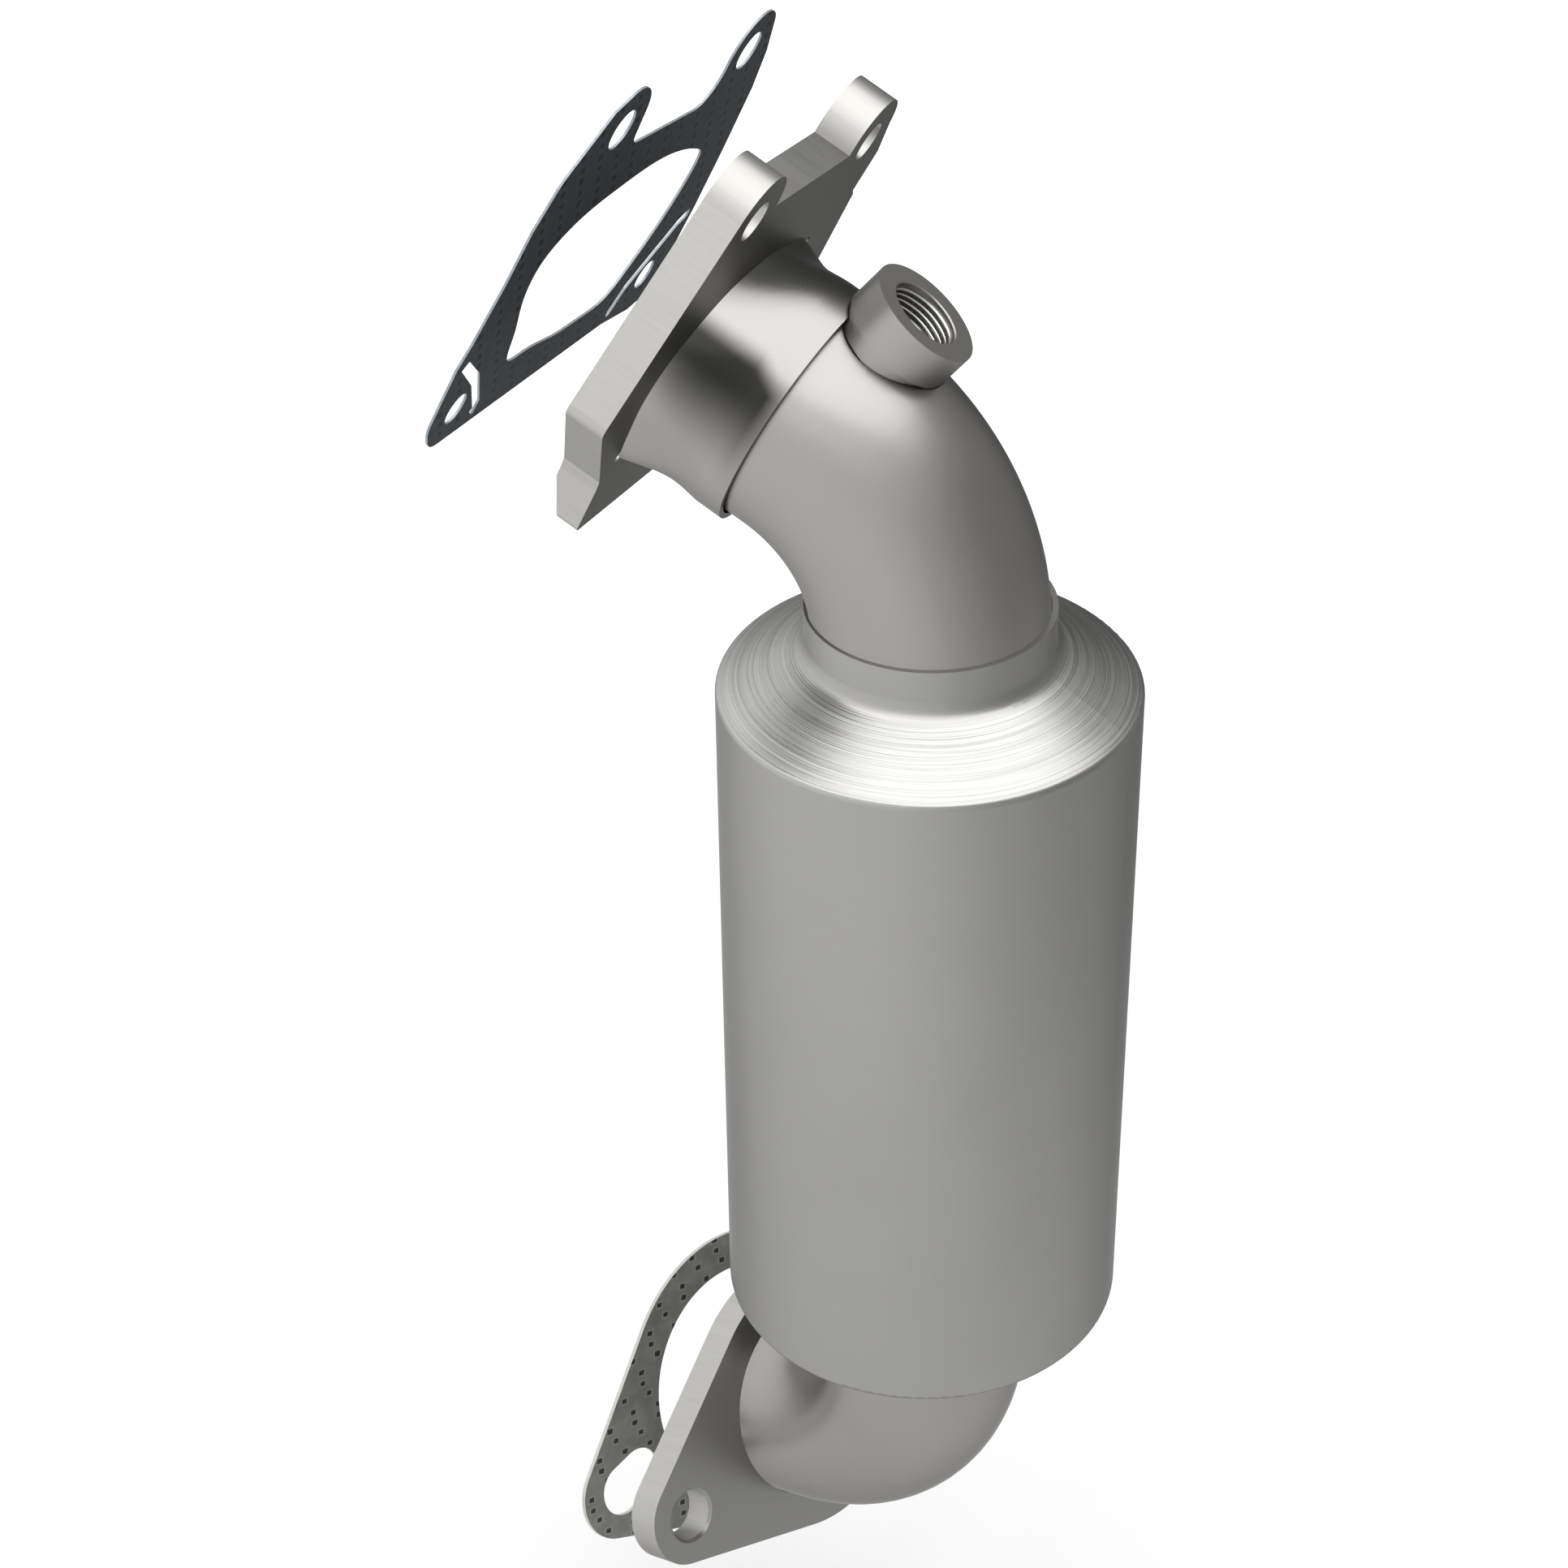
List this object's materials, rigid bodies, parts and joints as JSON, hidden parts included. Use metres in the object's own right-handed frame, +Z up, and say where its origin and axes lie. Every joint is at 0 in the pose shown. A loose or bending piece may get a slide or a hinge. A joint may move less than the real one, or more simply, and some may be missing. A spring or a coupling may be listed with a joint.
{
  "type": "catalytic converter",
  "caption": "Close-coupled catalytic converter: a spun round can between a flanged, egg-ported inlet elbow with a sensor bung and a diamond-flanged outlet elbow, with loose gaskets.",
  "frame": {"origin": "on the inlet flange's mating face, midway between its two upper stud holes", "axes": "+Z up along the can's axis, from its outlet end to its inlet end; -X towards the side that the inlet port opens to"},
  "size_m": [0.1559, 0.1502, 0.464],
  "materials": {
    "flange_steel": "machined faces, fine grain on the edges",
    "tube_steel": "satin stainless tube",
    "shell_steel": "spun and brushed stainless sheet",
    "weld_steel": "bright weld bead",
    "bung_steel": "turned steel with a cut thread",
    "brick": "coated ceramic honeycomb",
    "mat": "ceramic fibre mat",
    "mesh": "knitted wire mesh",
    "dark_gasket": "dark coated steel, embossed, bare edges",
    "grey_gasket": "perforated steel with a graphite facing"
  },
  "bodies": {
    "root": {"inlet_flange": "flange_steel", "inlet_flange_weld": "weld_steel", "inlet_adapter": "tube_steel", "inlet_elbow": "tube_steel", "sensor_bung": "bung_steel", "converter_shell": "shell_steel", "front_brick": "brick", "rear_brick": "brick", "front_mat": "mat", "rear_mat": "mat", "front_upper_seal": "mesh", "front_lower_seal": "mesh", "rear_upper_seal": "mesh", "rear_lower_seal": "mesh", "outlet_elbow": "tube_steel", "outlet_flange": "flange_steel", "outlet_flange_weld": "weld_steel", "inlet_gasket": "dark_gasket", "outlet_gasket": "grey_gasket"}
  },
  "joints": []
}
